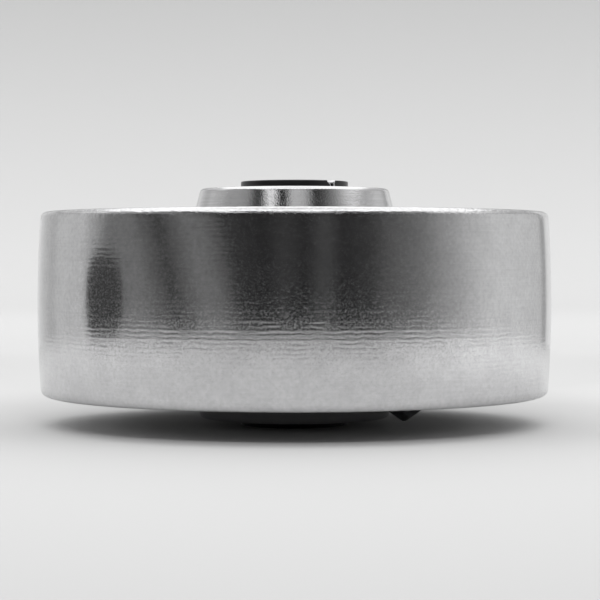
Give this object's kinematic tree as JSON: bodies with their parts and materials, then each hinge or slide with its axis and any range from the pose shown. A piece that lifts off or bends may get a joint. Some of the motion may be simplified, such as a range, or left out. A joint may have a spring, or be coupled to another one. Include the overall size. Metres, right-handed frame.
{
  "type": "cam follower",
  "caption": "Yoke-type cam follower: thick crowned steel roller on ball rows, with a raised tapered hub on each side and a slotted spring bush for its pin.",
  "frame": {"origin": "middle of the bore, halfway between the two ends of the bush", "axes": "+Z along the spin axis, towards the upper end; +X and +Y square to it, with the slit and the grease nipple towards +X and -Y"},
  "size_m": [0.062, 0.062, 0.0296],
  "materials": {
    "ground_steel": "bright steel, ground round the tread, with fine circumferential lines",
    "turned_steel": "bright steel, fine turned and polished",
    "bearing_steel": "hardened steel, ground bright",
    "black_spring_steel": "black phosphated and oiled spring steel",
    "seal_steel": "pressed sheet steel, dull",
    "seal_rubber": "black nitrile rubber, satin",
    "cage_brass": "machined brass",
    "nipple_steel": "black oxide steel"
  },
  "bodies": {
    "core": {"split_bush": "black_spring_steel", "inner_ring": "bearing_steel", "upper_end_plate": "turned_steel", "lower_end_plate": "turned_steel", "grease_nipple": "nipple_steel", "nipple_valve_ball": "bearing_steel", "nipple_spring": "bearing_steel"},
    "outer": {"outer_ring": "ground_steel", "upper_seal_case": "seal_steel", "lower_seal_case": "seal_steel", "upper_seal_lip": "seal_rubber", "lower_seal_lip": "seal_rubber"},
    "upper_cage": {"upper_cage": "cage_brass"},
    "lower_cage": {"lower_cage": "cage_brass"},
    "upper_ball_01": {"upper_ball_01": "bearing_steel"},
    "upper_ball_02": {"upper_ball_02": "bearing_steel"},
    "upper_ball_03": {"upper_ball_03": "bearing_steel"},
    "upper_ball_04": {"upper_ball_04": "bearing_steel"},
    "upper_ball_05": {"upper_ball_05": "bearing_steel"},
    "upper_ball_06": {"upper_ball_06": "bearing_steel"},
    "upper_ball_07": {"upper_ball_07": "bearing_steel"},
    "upper_ball_08": {"upper_ball_08": "bearing_steel"},
    "upper_ball_09": {"upper_ball_09": "bearing_steel"},
    "upper_ball_10": {"upper_ball_10": "bearing_steel"},
    "upper_ball_11": {"upper_ball_11": "bearing_steel"},
    "upper_ball_12": {"upper_ball_12": "bearing_steel"},
    "lower_ball_01": {"lower_ball_01": "bearing_steel"},
    "lower_ball_02": {"lower_ball_02": "bearing_steel"},
    "lower_ball_03": {"lower_ball_03": "bearing_steel"},
    "lower_ball_04": {"lower_ball_04": "bearing_steel"},
    "lower_ball_05": {"lower_ball_05": "bearing_steel"},
    "lower_ball_06": {"lower_ball_06": "bearing_steel"},
    "lower_ball_07": {"lower_ball_07": "bearing_steel"},
    "lower_ball_08": {"lower_ball_08": "bearing_steel"},
    "lower_ball_09": {"lower_ball_09": "bearing_steel"},
    "lower_ball_10": {"lower_ball_10": "bearing_steel"},
    "lower_ball_11": {"lower_ball_11": "bearing_steel"},
    "lower_ball_12": {"lower_ball_12": "bearing_steel"}
  },
  "joints": [
    {"name": "outer_spin", "type": "hinge", "parent": "core", "child": "outer", "pos_m": [0, 0, 0], "axis": [0, 0, 1], "continuous": true},
    {"name": "upper_cage_spin", "type": "hinge", "parent": "core", "child": "upper_cage", "pos_m": [0, 0, 0.0042], "axis": [0, 0, 1], "continuous": true},
    {"name": "upper_ball_01_spin", "type": "hinge", "parent": "upper_cage", "child": "upper_ball_01", "pos_m": [0.016, 0, 0.0042], "axis": [0, 0, 1], "continuous": true},
    {"name": "upper_ball_02_spin", "type": "hinge", "parent": "upper_cage", "child": "upper_ball_02", "pos_m": [0.01386, 0.008, 0.0042], "axis": [0, 0, 1], "continuous": true},
    {"name": "upper_ball_03_spin", "type": "hinge", "parent": "upper_cage", "child": "upper_ball_03", "pos_m": [0.008, 0.01386, 0.0042], "axis": [0, 0, 1], "continuous": true},
    {"name": "upper_ball_04_spin", "type": "hinge", "parent": "upper_cage", "child": "upper_ball_04", "pos_m": [0, 0.016, 0.0042], "axis": [0, 0, 1], "continuous": true},
    {"name": "upper_ball_05_spin", "type": "hinge", "parent": "upper_cage", "child": "upper_ball_05", "pos_m": [-0.008, 0.01386, 0.0042], "axis": [0, 0, 1], "continuous": true},
    {"name": "upper_ball_06_spin", "type": "hinge", "parent": "upper_cage", "child": "upper_ball_06", "pos_m": [-0.01386, 0.008, 0.0042], "axis": [0, 0, 1], "continuous": true},
    {"name": "upper_ball_07_spin", "type": "hinge", "parent": "upper_cage", "child": "upper_ball_07", "pos_m": [-0.016, 0, 0.0042], "axis": [0, 0, 1], "continuous": true},
    {"name": "upper_ball_08_spin", "type": "hinge", "parent": "upper_cage", "child": "upper_ball_08", "pos_m": [-0.01386, -0.008, 0.0042], "axis": [0, 0, 1], "continuous": true},
    {"name": "upper_ball_09_spin", "type": "hinge", "parent": "upper_cage", "child": "upper_ball_09", "pos_m": [-0.008, -0.01386, 0.0042], "axis": [0, 0, 1], "continuous": true},
    {"name": "upper_ball_10_spin", "type": "hinge", "parent": "upper_cage", "child": "upper_ball_10", "pos_m": [0, -0.016, 0.0042], "axis": [0, 0, 1], "continuous": true},
    {"name": "upper_ball_11_spin", "type": "hinge", "parent": "upper_cage", "child": "upper_ball_11", "pos_m": [0.008, -0.01386, 0.0042], "axis": [0, 0, 1], "continuous": true},
    {"name": "upper_ball_12_spin", "type": "hinge", "parent": "upper_cage", "child": "upper_ball_12", "pos_m": [0.01386, -0.008, 0.0042], "axis": [0, 0, 1], "continuous": true},
    {"name": "lower_cage_spin", "type": "hinge", "parent": "core", "child": "lower_cage", "pos_m": [0, 0, -0.0042], "axis": [0, 0, 1], "continuous": true},
    {"name": "lower_ball_01_spin", "type": "hinge", "parent": "lower_cage", "child": "lower_ball_01", "pos_m": [0.016, 0, -0.0042], "axis": [0, 0, 1], "continuous": true},
    {"name": "lower_ball_02_spin", "type": "hinge", "parent": "lower_cage", "child": "lower_ball_02", "pos_m": [0.01386, 0.008, -0.0042], "axis": [0, 0, 1], "continuous": true},
    {"name": "lower_ball_03_spin", "type": "hinge", "parent": "lower_cage", "child": "lower_ball_03", "pos_m": [0.008, 0.01386, -0.0042], "axis": [0, 0, 1], "continuous": true},
    {"name": "lower_ball_04_spin", "type": "hinge", "parent": "lower_cage", "child": "lower_ball_04", "pos_m": [0, 0.016, -0.0042], "axis": [0, 0, 1], "continuous": true},
    {"name": "lower_ball_05_spin", "type": "hinge", "parent": "lower_cage", "child": "lower_ball_05", "pos_m": [-0.008, 0.01386, -0.0042], "axis": [0, 0, 1], "continuous": true},
    {"name": "lower_ball_06_spin", "type": "hinge", "parent": "lower_cage", "child": "lower_ball_06", "pos_m": [-0.01386, 0.008, -0.0042], "axis": [0, 0, 1], "continuous": true},
    {"name": "lower_ball_07_spin", "type": "hinge", "parent": "lower_cage", "child": "lower_ball_07", "pos_m": [-0.016, 0, -0.0042], "axis": [0, 0, 1], "continuous": true},
    {"name": "lower_ball_08_spin", "type": "hinge", "parent": "lower_cage", "child": "lower_ball_08", "pos_m": [-0.01386, -0.008, -0.0042], "axis": [0, 0, 1], "continuous": true},
    {"name": "lower_ball_09_spin", "type": "hinge", "parent": "lower_cage", "child": "lower_ball_09", "pos_m": [-0.008, -0.01386, -0.0042], "axis": [0, 0, 1], "continuous": true},
    {"name": "lower_ball_10_spin", "type": "hinge", "parent": "lower_cage", "child": "lower_ball_10", "pos_m": [0, -0.016, -0.0042], "axis": [0, 0, 1], "continuous": true},
    {"name": "lower_ball_11_spin", "type": "hinge", "parent": "lower_cage", "child": "lower_ball_11", "pos_m": [0.008, -0.01386, -0.0042], "axis": [0, 0, 1], "continuous": true},
    {"name": "lower_ball_12_spin", "type": "hinge", "parent": "lower_cage", "child": "lower_ball_12", "pos_m": [0.01386, -0.008, -0.0042], "axis": [0, 0, 1], "continuous": true}
  ],
  "couplings": [
    {"joint": "upper_cage_spin", "follows": "outer_spin", "ratio": 0.59922},
    {"joint": "upper_ball_01_spin", "follows": "outer_spin", "ratio": 2.4205},
    {"joint": "upper_ball_02_spin", "follows": "outer_spin", "ratio": 2.4205},
    {"joint": "upper_ball_03_spin", "follows": "outer_spin", "ratio": 2.4205},
    {"joint": "upper_ball_04_spin", "follows": "outer_spin", "ratio": 2.4205},
    {"joint": "upper_ball_05_spin", "follows": "outer_spin", "ratio": 2.4205},
    {"joint": "upper_ball_06_spin", "follows": "outer_spin", "ratio": 2.4205},
    {"joint": "upper_ball_07_spin", "follows": "outer_spin", "ratio": 2.4205},
    {"joint": "upper_ball_08_spin", "follows": "outer_spin", "ratio": 2.4205},
    {"joint": "upper_ball_09_spin", "follows": "outer_spin", "ratio": 2.4205},
    {"joint": "upper_ball_10_spin", "follows": "outer_spin", "ratio": 2.4205},
    {"joint": "upper_ball_11_spin", "follows": "outer_spin", "ratio": 2.4205},
    {"joint": "upper_ball_12_spin", "follows": "outer_spin", "ratio": 2.4205},
    {"joint": "lower_cage_spin", "follows": "outer_spin", "ratio": 0.59922},
    {"joint": "lower_ball_01_spin", "follows": "outer_spin", "ratio": 2.4205},
    {"joint": "lower_ball_02_spin", "follows": "outer_spin", "ratio": 2.4205},
    {"joint": "lower_ball_03_spin", "follows": "outer_spin", "ratio": 2.4205},
    {"joint": "lower_ball_04_spin", "follows": "outer_spin", "ratio": 2.4205},
    {"joint": "lower_ball_05_spin", "follows": "outer_spin", "ratio": 2.4205},
    {"joint": "lower_ball_06_spin", "follows": "outer_spin", "ratio": 2.4205},
    {"joint": "lower_ball_07_spin", "follows": "outer_spin", "ratio": 2.4205},
    {"joint": "lower_ball_08_spin", "follows": "outer_spin", "ratio": 2.4205},
    {"joint": "lower_ball_09_spin", "follows": "outer_spin", "ratio": 2.4205},
    {"joint": "lower_ball_10_spin", "follows": "outer_spin", "ratio": 2.4205},
    {"joint": "lower_ball_11_spin", "follows": "outer_spin", "ratio": 2.4205},
    {"joint": "lower_ball_12_spin", "follows": "outer_spin", "ratio": 2.4205}
  ]
}
